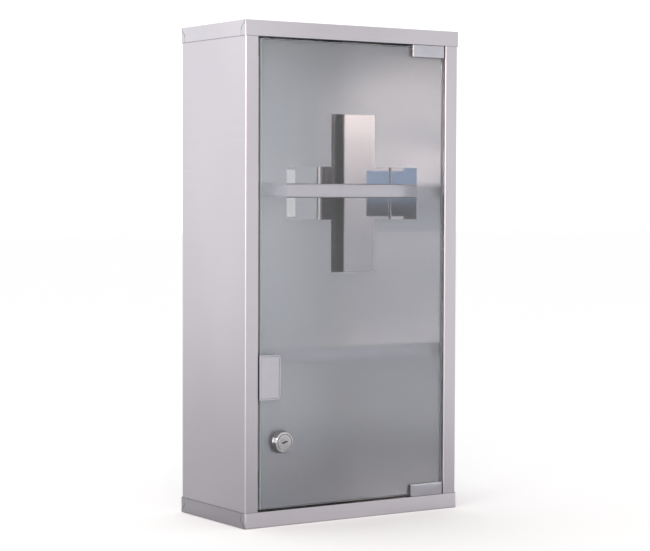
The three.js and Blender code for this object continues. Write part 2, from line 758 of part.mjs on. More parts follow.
// The housing: a closed box with a bore for the plunger and an ear with a screw on each side.
function latchHousing() {
  const half = HOUSING_WIDTH / 2;
  const corner = HOUSING_CORNER;
  const box = rectangle(-half, housingLow, half, HOUSING_HEIGHT / 2, [0, 0, corner, corner]);
  const ears = rectangle(
    -EAR_SPAN / 2,
    earMiddle - EAR_LENGTH / 2,
    EAR_SPAN / 2,
    earMiddle + EAR_LENGTH / 2,
    Array(4).fill(corner),
  );
  let body = bar(box, 'y', housingFront, housingEnd)
    .add(bar(ears, 'z', housingLow, housingLow + EAR_HEIGHT))
    .subtract(rod(0, 0, PLUNGER_RADIUS + RUN, 'y', 0, boreEnd));
  for (const x of [-EAR_SCREW_SPACING / 2, EAR_SCREW_SPACING / 2]) {
    body = body.subtract(rod(x, earMiddle, SCREW_RADIUS + NEST, 'z', 2 * housingLow, 0));
  }
  return body;
}

// The bracket: an angle on the side wall whose level leg carries the housing.
function latchBracket(wallX) {
  const seat = housingLow - SEAT;
  const section = [[wallX, seat - BRACKET_DROP], [wallX, seat], [EAR_SPAN / 2 + SEAT, seat]];
  const from = housingFront + BRACKET_INSET;
  let body = bar(folded(section, -BRACKET_SHEET, BEND), 'y', from, from + BRACKET_LENGTH);
  for (const x of [-EAR_SCREW_SPACING / 2, EAR_SCREW_SPACING / 2]) {
    body = body.subtract(rod(x, earMiddle, SCREW_RADIUS + NEST, 'z', seat - 2 * BRACKET_SHEET, 0));
  }
  return body;
}

// A latch screw, head up on its ear, with its tip through the bracket.
function latchScrew() {
  const tip = housingLow - SEAT - 2 * BRACKET_SHEET;
  const seat = housingLow + EAR_HEIGHT + SEAT;
  return panScrew(tip, seat, SCREW_RADIUS, SCREW_HEAD, SCREW_HEAD_HEIGHT, 'z');
}

// The fixed cabinet.
const cabinet = new THREE.Group();
const topCap = piece('top_cap', cap(pivotX), BRUSHED_STEEL);
topCap.position.z = HEIGHT - CAP_HEIGHT;
const bottomCap = piece('bottom_cap', cap(-pivotX), BRUSHED_STEEL);
bottomCap.position.z = CAP_HEIGHT;
bottomCap.rotation.y = Math.PI;
cabinet.add(topCap, bottomCap);
cabinet.add(piece('left_side_panel', sidePanel(-1), BRUSHED_STEEL));
cabinet.add(piece('right_side_panel', sidePanel(1), BRUSHED_STEEL));
cabinet.add(piece('back_panel', backPanel(), POLISHED_STEEL));
['lower', 'upper'].slice(0, SHELF_COUNT).forEach((level, i) => {
  cabinet.add(piece(`${level}_shelf`, shelf(shelfTop[i]), POLISHED_STEEL));
  cabinet.add(piece(`${level}_rail_left`, shelfRail(-1, shelfTop[i]), ZINC));
  cabinet.add(piece(`${level}_rail_right`, shelfRail(1, shelfTop[i]), ZINC));
});

// The latch, about its own axis. It faces the middle of the strike plate's rear leg.
const latch = new THREE.Group();
const latchX = -paneWidth / 2 - gripClear - STRIKE_BRIDGE + STRIKE_REACH / 2;
latch.position.set(latchX, paneFront + pane + gripClear + STRIKE_FACE + LATCH_GAP, latchZ);
latch.add(piece('latch_bracket', latchBracket(-wallInside + SEAT - latchX), ZINC));
latch.add(piece('latch_housing', latchHousing(), LATCH_PLASTIC));
latch.add(piece('latch_plunger', latchPlunger(), LATCH_PLASTIC));
latch.add(piece('latch_magnet', latchMagnet(), MAGNET_GREY));
latch.add(piece('latch_spring', latchSpring(), SPRING_STEEL));
[-1, 1].forEach((side, i) => {
  const screw = piece(`latch_screw_${i + 1}`, latchScrew(), ZINC);
  screw.position.set((side * EAR_SCREW_SPACING) / 2, earMiddle, 0);
  latch.add(screw);
});
cabinet.add(latch);

// The door, with the front face of the pane on y = 0 and its centre on x = z = 0.
const door = new THREE.Group();
door.position.set(0, paneFront, HEIGHT / 2);
const lockHeight = lockZ - HEIGHT / 2;
door.add(piece('door_glass', glassPane(lockX, lockHeight), CLEAR_GLASS));
door.add(piece('frosted_layer', frostedLayer(lockX, lockHeight), FROSTED));

// A hinge at the top edge of the pane, and one turned upside down at the bottom edge.
for (const [level, up] of [['top', 1], ['bottom', -1]]) {
  const hinge = new THREE.Group();
  hinge.position.set(clipCentre, 0, (up * paneHeight) / 2);
  hinge.rotation.y = up > 0 ? 0 : Math.PI;
  const pivot = up * (pivotX - clipCentre);
  hinge.add(piece(`hinge_clip_${level}`, hingeClip(pivot), SATIN_CLIP));
  hinge.add(piece(`hinge_pad_${level}`, gripPad(CLIP_LENGTH, CLIP_HEIGHT), RUBBER));
  const pin = piece(`hinge_pin_${level}`, hingePin(), ZINC);
  const bush = piece(`hinge_bush_${level}`, hingeBush(), NYLON);
  for (const round of [pin, bush]) {
    round.position.set(pivot, pivotY - paneFront, 0);
    hinge.add(round);
  }
  [-1, 1].forEach((side, i) => {
    const screw = piece(`hinge_screw_${level}_${i + 1}`, clampScrew(CLIP_FACE), ZINC);
    screw.position.set((side * CLIP_SCREW_SPACING) / 2, pane + gripClear + CLIP_FACE + SEAT, clipScrewZ);
    hinge.add(screw);
  });
  door.add(hinge);
}

// The strike plate, a grip turned on its side to reach round the free edge of the pane.
const strike = new THREE.Group();
strike.position.set(-paneWidth / 2, 0, latchZ - HEIGHT / 2);
strike.rotation.y = -Math.PI / 2;
strike.add(piece('strike_plate', strikePlate(), SATIN_CLIP));
strike.add(piece('strike_pad', gripPad(STRIKE_LENGTH, STRIKE_REACH), RUBBER));
[-1, 1].forEach((side, i) => {
  const screw = piece(`strike_screw_${i + 1}`, clampScrew(STRIKE_FACE), ZINC);
  const behind = pane + gripClear + STRIKE_FACE + SEAT;
  screw.position.set((side * STRIKE_SCREW_SPACING) / 2, behind, -STRIKE_SCREW_INSET);
  strike.add(screw);
});
door.add(strike);

// The lock, about its own axis.
const lock = new THREE.Group();
lock.position.set(lockX, 0, lockHeight);
lock.add(piece('lock_barrel', lockBarrel(), CHROME));
lock.add(piece('lock_gasket', lockGasket(), RUBBER));
lock.add(piece('lock_nut', lockNut(), ZINC));
lock.add(piece('lock_plug', lockPlug(), CHROME));
lock.add(piece('lock_cam', lockCam(), ZINC));
lock.add(piece('cam_screw', camScrew(), ZINC));
door.add(lock);

const model = new THREE.Group();
model.add(cabinet, door);

export default model;
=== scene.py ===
# %% [markdown]
# # A wall medicine cabinet
# A shallow cabinet of folded stainless sheet. Its door is one pane of glass with a frosted layer
# behind it, and a cross is left clear in the frost. The solids already have their true sizes, so this
# lesson gives them the surfaces: eased edges, brushed and polished steel, glass, frost and chrome.

# %% Load the solids
import json
import math

import bmesh
import bpy
from mathutils import Matrix, Vector


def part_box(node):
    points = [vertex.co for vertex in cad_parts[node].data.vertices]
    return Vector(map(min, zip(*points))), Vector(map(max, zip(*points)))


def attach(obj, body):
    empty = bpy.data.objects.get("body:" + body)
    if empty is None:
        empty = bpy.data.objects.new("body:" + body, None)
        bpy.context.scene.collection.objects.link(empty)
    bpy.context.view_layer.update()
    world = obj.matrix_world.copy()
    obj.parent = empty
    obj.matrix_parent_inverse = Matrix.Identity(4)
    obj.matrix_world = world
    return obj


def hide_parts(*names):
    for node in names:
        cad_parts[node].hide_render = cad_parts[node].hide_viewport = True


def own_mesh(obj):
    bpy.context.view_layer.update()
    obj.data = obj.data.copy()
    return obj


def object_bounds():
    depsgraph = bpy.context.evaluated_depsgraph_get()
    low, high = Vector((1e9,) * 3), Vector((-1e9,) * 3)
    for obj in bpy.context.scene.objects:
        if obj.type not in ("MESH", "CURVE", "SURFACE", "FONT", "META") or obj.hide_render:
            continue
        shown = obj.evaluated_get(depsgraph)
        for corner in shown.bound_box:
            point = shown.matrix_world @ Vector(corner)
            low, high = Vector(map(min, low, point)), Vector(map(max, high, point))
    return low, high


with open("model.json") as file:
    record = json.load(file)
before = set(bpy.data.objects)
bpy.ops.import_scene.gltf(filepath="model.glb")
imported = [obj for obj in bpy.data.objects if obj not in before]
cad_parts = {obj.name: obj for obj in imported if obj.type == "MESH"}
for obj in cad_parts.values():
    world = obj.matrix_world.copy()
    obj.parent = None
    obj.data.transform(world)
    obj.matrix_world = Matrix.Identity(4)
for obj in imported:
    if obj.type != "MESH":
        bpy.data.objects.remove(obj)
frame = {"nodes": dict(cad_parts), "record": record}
solid_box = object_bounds()
MM = 0.001
BODY_OF = {node: body for body, nodes in frame["record"]["behaviour"]["bodies"].items() for node in nodes}
SLOT_OF = {part["node"]: part["material_slot"] for part in frame["record"]["subparts"]}
print("solids:", len(BODY_OF), "bodies:", sorted(set(BODY_OF.values())))

# %% [markdown]
# ## Camera
# The viewpoint was worked out from the corners of the two caps. A camera's own axes are the columns
# of its matrix: right, up and backwards. Building them from three angles is easier to read than a
# quaternion, and the lens follows from a focal length in pixels over the width of the picture.

# %% Camera
PICTURE_WIDTH = 650
FOCAL_PIXELS = 1948.47
SENSOR_WIDTH = 36
CAMERA_PLACE = Vector((-1067.25, -1629.0, 316.39)) * MM
YAW, PITCH, ROLL = 33.366, -2.3815, 0.182


def camera_axes(yaw, pitch, roll):
    """Right, up and forward for a camera that looks along +Y when all angles are 0."""
    turn = Matrix.Rotation(-yaw, 3, "Z") @ Matrix.Rotation(pitch, 3, "X") @ Matrix.Rotation(-roll, 3, "Y")
    return turn @ Vector((1, 0, 0)), turn @ Vector((0, 0, 1)), turn @ Vector((0, 1, 0))


right, up, forward = camera_axes(*(math.radians(angle) for angle in (YAW, PITCH, ROLL)))
lens = bpy.data.cameras.new("camera")
lens.sensor_width = SENSOR_WIDTH
lens.lens = FOCAL_PIXELS * SENSOR_WIDTH / PICTURE_WIDTH
lens.clip_start, lens.clip_end = 0.05, 60
camera = bpy.data.objects.new("camera", lens)
camera.matrix_world = Matrix.Translation(CAMERA_PLACE) @ Matrix((right, up, -forward)).transposed().to_4x4()
bpy.context.scene.collection.objects.link(camera)
bpy.context.scene.camera = camera
print("lens:", round(lens.lens, 2), "mm")

# %% [markdown]
# ## Node helpers
# A finish is a small tree of nodes. These helpers keep the trees short: one adds a node and fills its
# sockets by name, one makes a material with an empty Principled BSDF, one maps a range of values to
# another, and one mixes two colours. A Mix node has sockets of the same name for numbers, vectors and
# colours, so the colour ones are picked by their place.

# %% Node helpers
MIX_SHARE, MIX_FIRST, MIX_SECOND, MIX_RESULT = 0, 6, 7, 2


def add_node(tree, kind, **values):
    """Adds a node. Names of sockets take a value or a link, and other names set the node itself."""
    node = tree.nodes.new(kind)
    for name, value in values.items():
        socket = node.inputs.get(name.replace("_", " "))
        if socket is None:
            setattr(node, name, value)
        elif isinstance(value, bpy.types.NodeSocket):
            tree.links.new(value, socket)
        else:
            socket.default_value = value
    return node


def new_material(name):
    """A material with only a Principled BSDF, as (material, tree, shader)."""
    material = bpy.data.materials.new(name)
    material.use_nodes = True
    tree = material.node_tree
    return material, tree, tree.nodes["Principled BSDF"]


def ranged(tree, value, start, end, low, high, shape="LINEAR"):
    """A value that goes from low to high while another goes from start to end."""
    mapped = add_node(tree, "ShaderNodeMapRange", interpolation_type=shape, Value=value,
                      From_Min=start, From_Max=end, To_Min=low, To_Max=high)
    return mapped.outputs["Result"]


def mixed(tree, share, first, second):
    """A colour between two, by a share from 0 to 1. Each of the two is a colour or a socket."""
    mix = add_node(tree, "ShaderNodeMix", data_type="RGBA")
    tree.links.new(share, mix.inputs[MIX_SHARE])
    for place, colour in ((MIX_FIRST, first), (MIX_SECOND, second)):
        if isinstance(colour, bpy.types.NodeSocket):
            tree.links.new(colour, mix.inputs[place])
        else:
            mix.inputs[place].default_value = (*colour, 1)
    return mix.outputs[MIX_RESULT]


print("node helpers ready")

# %% [markdown]
# ## Finish helpers
# Every finish is fed by a few textures on Object coordinates: a noise whose scale may differ along
# each axis, a colour that follows it, and a slight relief. Noise seldom leaves the middle of its
# range, so the colours and values are stretched over that middle. A noise that is long along one axis
# and short along the others is what makes steel look brushed.

# %% Finish helpers
NOISE_LOW, NOISE_HIGH = 0.3, 0.7
RELIEF_STRENGTH = 0.35


def noise(tree, scale, detail=2.0, roughness=0.5):
    """A noise on Object coordinates, with one scale for each axis, as a value from 0 to 1."""
    place = add_node(tree, "ShaderNodeTexCoord").outputs["Object"]
    stretch = add_node(tree, "ShaderNodeMapping", Vector=place, Scale=scale).outputs["Vector"]
    grain = add_node(tree, "ShaderNodeTexNoise", Vector=stretch, Scale=1.0, Detail=detail,
                     Roughness=roughness)
    return grain.outputs["Fac"]


def spread(tree, value, low, high):
    """A noise's usual values, stretched to the range from low to high."""
    return ranged(tree, value, NOISE_LOW, NOISE_HIGH, low, high)


def tinted(tree, value, dark, light):
    """A colour between two, chosen by a noise's usual values."""
    ramp = add_node(tree, "ShaderNodeValToRGB", Fac=value)
    for stop, place, colour in zip(ramp.color_ramp.elements, (NOISE_LOW, NOISE_HIGH), (dark, light)):
        stop.position = place
        stop.color = (*colour, 1)
    return ramp.outputs["Color"]


def bump(tree, shader, height, strength, depth):
    """Raises a surface by a height from 0 to 1, over a depth in metres."""
    raised = add_node(tree, "ShaderNodeBump", Height=height, Strength=strength, Distance=depth)
    tree.links.new(raised.outputs["Normal"], shader.inputs["Normal"])


def surface(name, grain, dark, light, rough, metal=0.0, detail=2.0, relief=0.0, broad=None):
    """A finish whose colour, roughness and relief follow one grain, with an optional broad tint."""
    material, tree, shader = new_material(name)
    fine = noise(tree, grain, detail)
    colour_from = fine if broad is None else noise(tree, broad)
    tree.links.new(tinted(tree, colour_from, dark, light), shader.inputs["Base Color"])
    tree.links.new(spread(tree, fine, *rough), shader.inputs["Roughness"])
    shader.inputs["Metallic"].default_value = metal
    if relief:
        bump(tree, shader, fine, RELIEF_STRENGTH, relief)
    return material


def even(scale):
    """The same scale along all three axes."""
    return (scale, scale, scale)


print("finish helpers ready")

# %% [markdown]
# ## Brushed steel
# The outside is brushed: fine scratches run level, so the noise is long along the scratch and short
# across it. A front face and a side face need different long axes, so there are two finishes, which
# the faces of a sheet take by where they point. The bottom cap has two of its own, lit and shaded
# copies of the same steel: its front is painted lighter and its side painted darker than the sheet
# above it, a painted light and a painted shade for how the light falls at the foot of the cabinet.

# %% Brushed steel
LONG, SHORT = 7.0, 1900.0
LEVEL_FRONT, LEVEL_SIDE = (LONG, SHORT, SHORT), (SHORT, LONG, SHORT)
BROAD = (5.0, 5.0, 3.0)
BRUSHED_ROUGH = (0.30, 0.42)
SCRATCH_DEPTH = 6e-6
STEEL_DARK, STEEL_LIGHT = (0.525, 0.503, 0.540), (0.600, 0.578, 0.617)
# Painted light and painted shade: the bottom cap's front is painted lighter and its side darker than the
# steel above.
LIT_BASE_FRONT_DARK, LIT_BASE_FRONT_LIGHT = (0.69, 0.662, 0.71), (0.79, 0.76, 0.81)
SHADED_BASE_SIDE_DARK, SHADED_BASE_SIDE_LIGHT = (0.43, 0.412, 0.443), (0.49, 0.474, 0.506)


def brushed(name, scratch, dark, light):
    """Steel with fine scratches along one axis and a broad, faint change of tint."""
    return surface(name, scratch, dark, light, BRUSHED_ROUGH, metal=1.0, relief=SCRATCH_DEPTH, broad=BROAD)


brushed_front = brushed("brushed_steel_front", LEVEL_FRONT, STEEL_DARK, STEEL_LIGHT)
brushed_side = brushed("brushed_steel_side", LEVEL_SIDE, STEEL_DARK, STEEL_LIGHT)
# The bottom cap's lit and shaded copies: painted light on the front, painted shade on the side.
painted_lit_base_front = brushed("brushed_steel_base_front_painted_light", LEVEL_FRONT, LIT_BASE_FRONT_DARK, LIT_BASE_FRONT_LIGHT)
painted_shaded_base_side = brushed("brushed_steel_base_side_painted_shade", LEVEL_SIDE, SHADED_BASE_SIDE_DARK, SHADED_BASE_SIDE_LIGHT)
print("brushed finishes:", [finish.name for finish in (brushed_front, brushed_side, painted_lit_base_front, painted_shaded_base_side)])

# %% [markdown]
# ## Other metals
# The inside is polished almost to a mirror, with a very slow waviness, as thin sheet has. The hidden
# inside of the stiles and the step of the strike plate's border are painted dark as shade, and the cap
# rims, lips and keyway walls are painted darker still as shade. The clips are a fine satin, the lock is
# chrome, and the hidden hardware is zinc plated.

# %% Other metals
polished = surface("polished_steel", (9.0, 9.0, 5.0), (0.61, 0.60, 0.61), (0.67, 0.66, 0.67),
                   (0.03, 0.06), metal=1.0, detail=1.0, relief=4e-5)
# Painted shade: a dark steel for the pocket behind the stile and the step of the strike plate's border.
painted_pocket_shade = surface("painted_pocket_shade_steel", even(60.0), (0.16, 0.157, 0.168), (0.20, 0.197, 0.208), (0.16, 0.26), metal=1.0)
satin = surface("satin_metal", even(4200.0), (0.475, 0.465, 0.51), (0.52, 0.51, 0.555),
                (0.26, 0.34), metal=1.0, relief=1e-6, broad=even(60.0))
chrome = surface("chrome", even(160.0), (0.50, 0.495, 0.515), (0.58, 0.575, 0.595), (0.04, 0.10), metal=1.0)
# Painted shade: a near-black steel for the cap rims and slits, the lips and the keyway walls.
painted_gap_shade = surface("painted_gap_shade", even(900.0), (0.06, 0.057, 0.063), (0.11, 0.105, 0.115), (0.45, 0.65),
                   metal=0.8)
zinc = surface("zinc", even(420.0), (0.50, 0.51, 0.52), (0.66, 0.67, 0.67), (0.30, 0.50), metal=1.0,
               detail=4.0, relief=1e-5)
magnet_grey = surface("sintered_magnet", even(700.0), (0.05, 0.05, 0.055), (0.10, 0.10, 0.11), (0.40, 0.60),
                      metal=0.6, relief=1e-5)
print("other metals:", [metal.name for metal in (polished, painted_pocket_shade, satin, chrome, painted_gap_shade, zinc, magnet_grey)])

# %% [markdown]
# ## Rubber and plastic
# The liners are black rubber, the bushes white nylon and the latch a light moulded plastic. Each has
# a fine grain in its roughness and a slight difference of tint, so that none is one flat colour.

# %% Rubber and plastic
rubber = surface("rubber", even(600.0), (0.012, 0.012, 0.013), (0.022, 0.022, 0.024), (0.65, 0.90),
                 relief=2e-5)
nylon = surface("nylon", even(300.0), (0.72, 0.70, 0.65), (0.80, 0.78, 0.74), (0.40, 0.60), relief=1e-5)
latch_plastic = surface("latch_plastic", even(1400.0), (0.62, 0.61, 0.58), (0.70, 0.69, 0.66), (0.38, 0.55),
                        relief=1.5e-5)
print("rubber and plastics:", [finish.name for finish in (rubber, nylon, latch_plastic)])

# %% [markdown]
# ## Glass and frost
# The pane is clear float glass with a faint tint and smears that only change its gloss. The frost is
# a thin layer that scatters what passes through it. A rough transmission blurs the inside of the
# cabinet as the real frost does, and the share that isn't transmitted gives it a milky body.

# %% Glass and frost
FROST_CLEAR = 0.83
FROST_IOR = 1.3
FROST_RELIEF_STRENGTH, FROST_RELIEF = 0.2, 1e-6
GLASS_IOR = 1.5


def clear_glass():
    """Float glass: full transmission, with the gloss a little uneven."""
    material, tree, shader = new_material("clear_glass")
    smear = noise(tree, (18.0, 18.0, 9.0), detail=3.0)
    tint = tinted(tree, smear, (0.95, 0.957, 0.975), (0.965, 0.972, 0.985))
    tree.links.new(tint, shader.inputs["Base Color"])
    tree.links.new(spread(tree, smear, 0.0, 0.012), shader.inputs["Roughness"])
    shader.inputs["Transmission Weight"].default_value = 1.0
    shader.inputs["IOR"].default_value = GLASS_IOR
    return material


def frosted_glass():
    """The frost: part rough glass, part milky white, with a fine even grain."""
    material, tree, shader = new_material("frosted_glass")
    grain = noise(tree, even(6000.0), detail=2.0)
    tint = tinted(tree, noise(tree, even(7.0)), (0.91, 0.95, 0.995), (0.93, 0.965, 1.0))
    tree.links.new(tint, shader.inputs["Base Color"])
    tree.links.new(spread(tree, grain, 0.44, 0.50), shader.inputs["Roughness"])
    shader.inputs["Transmission Weight"].default_value = FROST_CLEAR
    shader.inputs["IOR"].default_value = FROST_IOR
    bump(tree, shader, grain, FROST_RELIEF_STRENGTH, FROST_RELIEF)
    return material


pane_glass = clear_glass()
frost = frosted_glass()
ground_edge = surface("ground_glass_edge", even(900.0), (0.26, 0.30, 0.31), (0.32, 0.36, 0.37), (0.45, 0.65),
                      relief=1e-5)
print("glass finishes:", [finish.name for finish in (pane_glass, frost, ground_edge)])

# %% [markdown]
# ## A finish for every solid
# Each solid names a slot, and each slot has one finish. The solids themselves take it too, so that
# nothing is left grey if a solid is ever shown without its dressed piece.

# %% A finish for every solid
FINISH = {
    "brushed_steel": brushed_front, "polished_steel": polished, "satin_metal": satin, "chrome": chrome,
    "zinc": zinc, "clear_glass": pane_glass, "frosted_glass": frost, "rubber": rubber, "nylon": nylon,
    "latch_plastic": latch_plastic, "magnet": magnet_grey,
}
for node, slot in SLOT_OF.items():
    frame["nodes"][node].data.materials.clear()
    frame["nodes"][node].data.materials.append(FINISH[slot])
print("finishes:", sorted(FINISH))

# %% [markdown]
# ## Making a piece
# A finished bmesh becomes an object at the origin, rides on the body of the solid that it stands for,
# and takes the finishes it is given. Smooth shading with sharp edges above an angle makes the rounds look
# round, and normals weighted by area keep the flats flat: a mirror shows the smallest bend in them.

# %% Making a piece
SHARP = math.radians(35)
AREA_WEIGHT = 100


def make_piece(name, mesh_data, nodes, materials):
    """Turns a bmesh into a named piece that stands for some solids of one body."""
    mesh = bpy.data.meshes.new(name)
    mesh_data.to_mesh(mesh)
    mesh_data.free()
    for material in materials:
        mesh.materials.append(material)
    mesh.shade_smooth()
    mesh.set_sharp_from_angle(angle=SHARP)
    piece = bpy.data.objects.new(name, mesh)
    bpy.context.scene.collection.objects.link(piece)
    weighted = piece.modifiers.new("weighted_normals", "WEIGHTED_NORMAL")
    weighted.keep_sharp = True
    weighted.weight = AREA_WEIGHT
    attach(piece, BODY_OF[nodes[0]])
    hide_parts(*nodes)
    print(name, "faces:", len(mesh.polygons))
    return piece


def span(mesh_data):
    """The lowest and highest corner of a bmesh, in millimetres, for a print."""
    lows = [min(v.co[i] for v in mesh_data.verts) / MM for i in range(3)]
    highs = [max(v.co[i] for v in mesh_data.verts) / MM for i in range(3)]
    return [round(x, 2) for x in lows], [round(x, 2) for x in highs]


print("piece helpers ready")

# %% [markdown]
# ## Easing edges
# No real edge is perfectly sharp, and a rounded one catches a line of light. A solid's mesh is loose
# triangles, so a copy of it is merged and its flat facets are joined before its edges can be found
# and bevelled. The bevel operator's defaults differ from the editor's, so each choice is given.

# %% Easing edges
MERGE = 1e-6
FLAT_ANGLE = math.radians(1)


def bevel_edges(mesh_data, edges, width, segments=2):
    """Rounds edges, and gives back the new faces."""
    return bmesh.ops.bevel(mesh_data, geom=edges, offset=width, offset_type="OFFSET", affect="EDGES",
                           segments=segments, profile=0.5, material=-1, clamp_overlap=True)["faces"]


def sharp_edges(mesh_data, angle=SHARP):
    """The edges where two faces meet at more than an angle."""
    return [edge for edge in mesh_data.edges if edge.is_manifold and edge.calc_face_angle(0) > angle]


def merged_copy(node):
    """A copy of a solid's loose triangles, with shared corners merged and flat facets joined."""
    mesh_data = bmesh.new()
    mesh_data.from_mesh(frame["nodes"][node].data)
    bmesh.ops.remove_doubles(mesh_data, verts=mesh_data.verts[:], dist=MERGE)
    bmesh.ops.dissolve_limit(mesh_data, angle_limit=FLAT_ANGLE, verts=mesh_data.verts[:],
                             edges=mesh_data.edges[:], use_dissolve_boundaries=False)
    return mesh_data


print("edge helpers ready")

# %% [markdown]
# ## Caps
# Each cap is a pan with a slit at every corner where a tab wraps round, cut in an S curve. A knife
# could cut that in Blender, but the solid already has it, so the cap is a merged copy of the solid.
# Its faces take the front or the side brushing by where they point. The cut rims of the skirt and the
# slits are eased and painted near black, a painted shade for the dark seam lines at the cap's joins.
# The lips are painted the same shade, as they face into the narrow gap round the door.

# %% Finding the faces and rims of a cap
SHEET = 0.6 * MM
FRONT, SIDE, INSIDE, PAINTED_SHADE = range(4)
FACES_SIDEWAYS = 0.7
RIM_ANGLE = math.radians(60)
ON_SKIRT = 0.01 * MM
SQUARE_ON = 0.99
LEANS = 0.05


def brush_by_facing(mesh_data, inner_faces):
    """Picks each face's finish: brushed along X, brushed along Y, or polished on the inner side."""
    for face in mesh_data.faces:
        face.material_index = SIDE if abs(face.normal.x) > FACES_SIDEWAYS else FRONT
    for face in inner_faces:
        face.material_index = INSIDE


def faces_inside(mesh_data, low, high):
    """The faces of a pan that lie within its outer box by at least half a sheet."""
    inset = Vector((SHEET, SHEET, SHEET)) / 2
    low, high = low + inset, high - inset
    found = []
    for face in mesh_data.faces:
        centre = face.calc_center_median()
        if all(low[i] < centre[i] < high[i] for i in range(3)):
            found.append(face)
    return found


def cut_rims(mesh_data, low, high):
    """The outer edges of the sheet's cut rims: of the skirt's free edge and of the slits."""
    found = []
    for edge in sharp_edges(mesh_data, RIM_ANGLE):
        middle = (edge.verts[0].co + edge.verts[1].co) / 2
        to_skirt = min(abs(middle[i] - side[i]) for i in (0, 1) for side in (low, high))
        level = [max(abs(face.normal.x), abs(face.normal.y)) for face in edge.link_faces]
        upright = [abs(face.normal.z) for face in edge.link_faces]
        if to_skirt < ON_SKIRT and min(level) < SQUARE_ON and max(upright) > LEANS:
            found.append(edge)
    return found


print("cap helpers ready")

# %% Caps
RIM_EASE = 0.36 * MM
FACES_UP_OR_DOWN = 0.9

for node in ("top_cap", "bottom_cap"):
    is_base = node == "bottom_cap"
    pan = merged_copy(node)
    low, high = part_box(node)
    # Painted shade: the eased rims and the lips take the near-black steel as dark seam lines.
    dark = bevel_edges(pan, cut_rims(pan, low, high), RIM_EASE)
    lip_level = high.z if is_base else low.z
    for face in pan.faces:
        at_lip = abs(face.calc_center_median().z - lip_level) < SHEET / 2
        if at_lip and abs(face.normal.z) > FACES_UP_OR_DOWN:
            dark.append(face)
    brush_by_facing(pan, faces_inside(pan, low, high))
    for face in dark:
        face.material_index = PAINTED_SHADE
    print(node, "dark faces:", len(set(dark)))
    # The bottom cap takes the copies with painted light on the front and painted shade on the side.
    outside = [painted_lit_base_front, painted_shaded_base_side] if is_base else [brushed_front, brushed_side]
    make_piece(node + "_sheet", pan, [node], outside + [polished, painted_gap_shade])

# %% [markdown]
# ## Folded sheets
# The side panels and the shelves are folded sheets. A few vertices draw the outer face's path, an
# edge extrude pulls it to its length, a bevel rounds every fold, and a solidify gives the sheet its
# thickness on the inner side. Drawing the path once and folding it is how the real sheet is made, and
# it keeps the faces few.

# %% Folded sheets
BEND = 1.6 * MM
BEND_STEPS = 6


def folded_sheet(path, length, thickness):
    """A sheet along a path of corners, pulled by a length and thickened away from its outer face.

    It is given back with the faces of its inner side."""
    mesh_data = bmesh.new()
    corners = [mesh_data.verts.new(corner) for corner in path]
    edges = [mesh_data.edges.new(pair) for pair in zip(corners, corners[1:])]
    pulled = bmesh.ops.extrude_edge_only(mesh_data, edges=edges)["geom"]
    far_end = [v for v in pulled if isinstance(v, bmesh.types.BMVert)]
    bmesh.ops.translate(mesh_data, vec=length, verts=far_end)
    folds = [edge for edge in mesh_data.edges if len(edge.link_faces) == 2]
    bevel_edges(mesh_data, folds, BEND, BEND_STEPS)
    outer = set(mesh_data.faces)
    bmesh.ops.solidify(mesh_data, geom=mesh_data.faces[:], thickness=thickness)
    bmesh.ops.recalc_face_normals(mesh_data, faces=mesh_data.faces[:])
    return mesh_data, [face for face in mesh_data.faces if face not in outer]


print("folded sheet ready")

# %% [markdown]
# ## Side panels
# One sheet makes the side of the cabinet, the door's stile, the stile's return and the rear flange.
# The path starts at the return and runs round to the flange. A sheet that is drawn the other way
# round thickens to the other side, so the sign of the thickness follows the side. The wall is
# polished inside, and the pocket behind the stile is painted dark steel, a painted shade for the
# shadow in it.

# %% Side panels
STILE_RETURN = 8 * MM
REAR_FLANGE = 12 * MM

for node, side in (("left_side_panel", -1), ("right_side_panel", 1)):
    low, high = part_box(node)
    wall, stile = (low.x, high.x) if side < 0 else (high.x, low.x)
    corners = [
        (stile, low.y + STILE_RETURN, low.z),
        (stile, low.y, low.z),
        (wall, low.y, low.z),
        (wall, high.y, low.z),
        (wall - side * REAR_FLANGE, high.y, low.z),
    ]
    panel, inner = folded_sheet(corners, (0, 0, high.z - low.z), -side * SHEET)
    brush_by_facing(panel, inner)
    # Painted shade: the inner faces in the pocket behind the stile take the dark steel.
    for face in inner:
        if face.calc_center_median().y < low.y + STILE_RETURN:
            face.material_index = PAINTED_SHADE
    print(node, span(panel), "inner faces:", len(inner))
    make_piece(node + "_sheet", panel, [node], [brushed_front, brushed_side, polished, painted_pocket_shade])

# %% [markdown]
# ## Shelves
# A shelf is folded the same way: a hem, a front lip, the shelf itself and a short flange at the rear.
# It is polished like the rest of the inside, but its lip is brushed like the front of the cabinet.

# %% Shelves
SHELF_HEM = 6 * MM
SHELF_REAR = 8 * MM
FACES_FORWARD = -0.5

for node in ("lower_shelf", "upper_shelf"):
    low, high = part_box(node)
    corners = [
        (low.x, low.y + SHELF_HEM, low.z),
        (low.x, low.y, low.z),
        (low.x, low.y, high.z),
        (low.x, high.y, high.z),
        (low.x, high.y, high.z - SHELF_REAR),
    ]
    plate, _ = folded_sheet(corners, (high.x - low.x, 0, 0), SHEET)
    for face in plate.faces:
        face.material_index = 1 if face.normal.y < FACES_FORWARD else 0
    print(node, span(plate))
    make_piece(node + "_sheet", plate, [node], [polished, brushed_front])

# %% [markdown]
# ## Lock rosette
# The rosette is a turned piece, so it is a half section of a few points spun about the lock's axis.
# A cylinder with insets would do as well, but a section shows the taper and the step for the plug at
# a glance. Its crown gets a larger round than the other edges.

